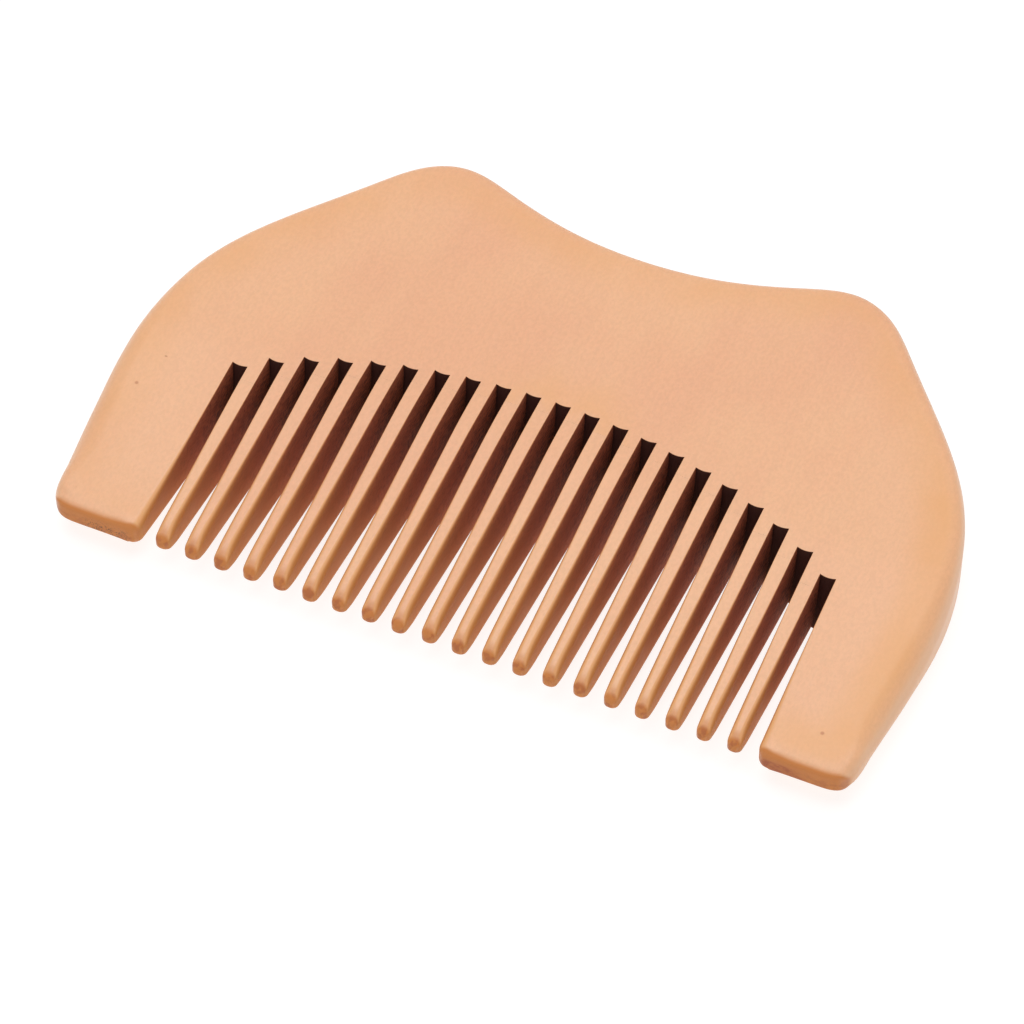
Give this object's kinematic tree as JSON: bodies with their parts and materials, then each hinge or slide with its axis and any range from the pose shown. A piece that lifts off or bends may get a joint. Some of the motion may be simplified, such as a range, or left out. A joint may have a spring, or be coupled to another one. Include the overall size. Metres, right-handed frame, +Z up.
{
  "type": "beard comb",
  "caption": "One-piece wooden beard comb lying flat, with a two-humped back, a finger dip, tapered saw-cut teeth and a solid guard at each end.",
  "frame": {"origin": "Middle of the comb's footprint, on the face it lies on.", "axes": "+Z up through the thickness, which is the shortest extent; X along the row of teeth, which is the longest extent; +Y from the teeth towards the back that the fingers hold."},
  "size_m": [0.0996, 0.0624, 0.0084],
  "materials": {
    "wood": "satin"
  },
  "bodies": {
    "root": {"back": "wood", "left_guard": "wood", "right_guard": "wood", "tooth_01": "wood", "tooth_02": "wood", "tooth_03": "wood", "tooth_04": "wood", "tooth_05": "wood", "tooth_06": "wood", "tooth_07": "wood", "tooth_08": "wood", "tooth_09": "wood", "tooth_10": "wood", "tooth_11": "wood", "tooth_12": "wood", "tooth_13": "wood", "tooth_14": "wood", "tooth_15": "wood", "tooth_16": "wood", "tooth_17": "wood", "tooth_18": "wood", "tooth_19": "wood", "tooth_20": "wood"}
  },
  "joints": []
}
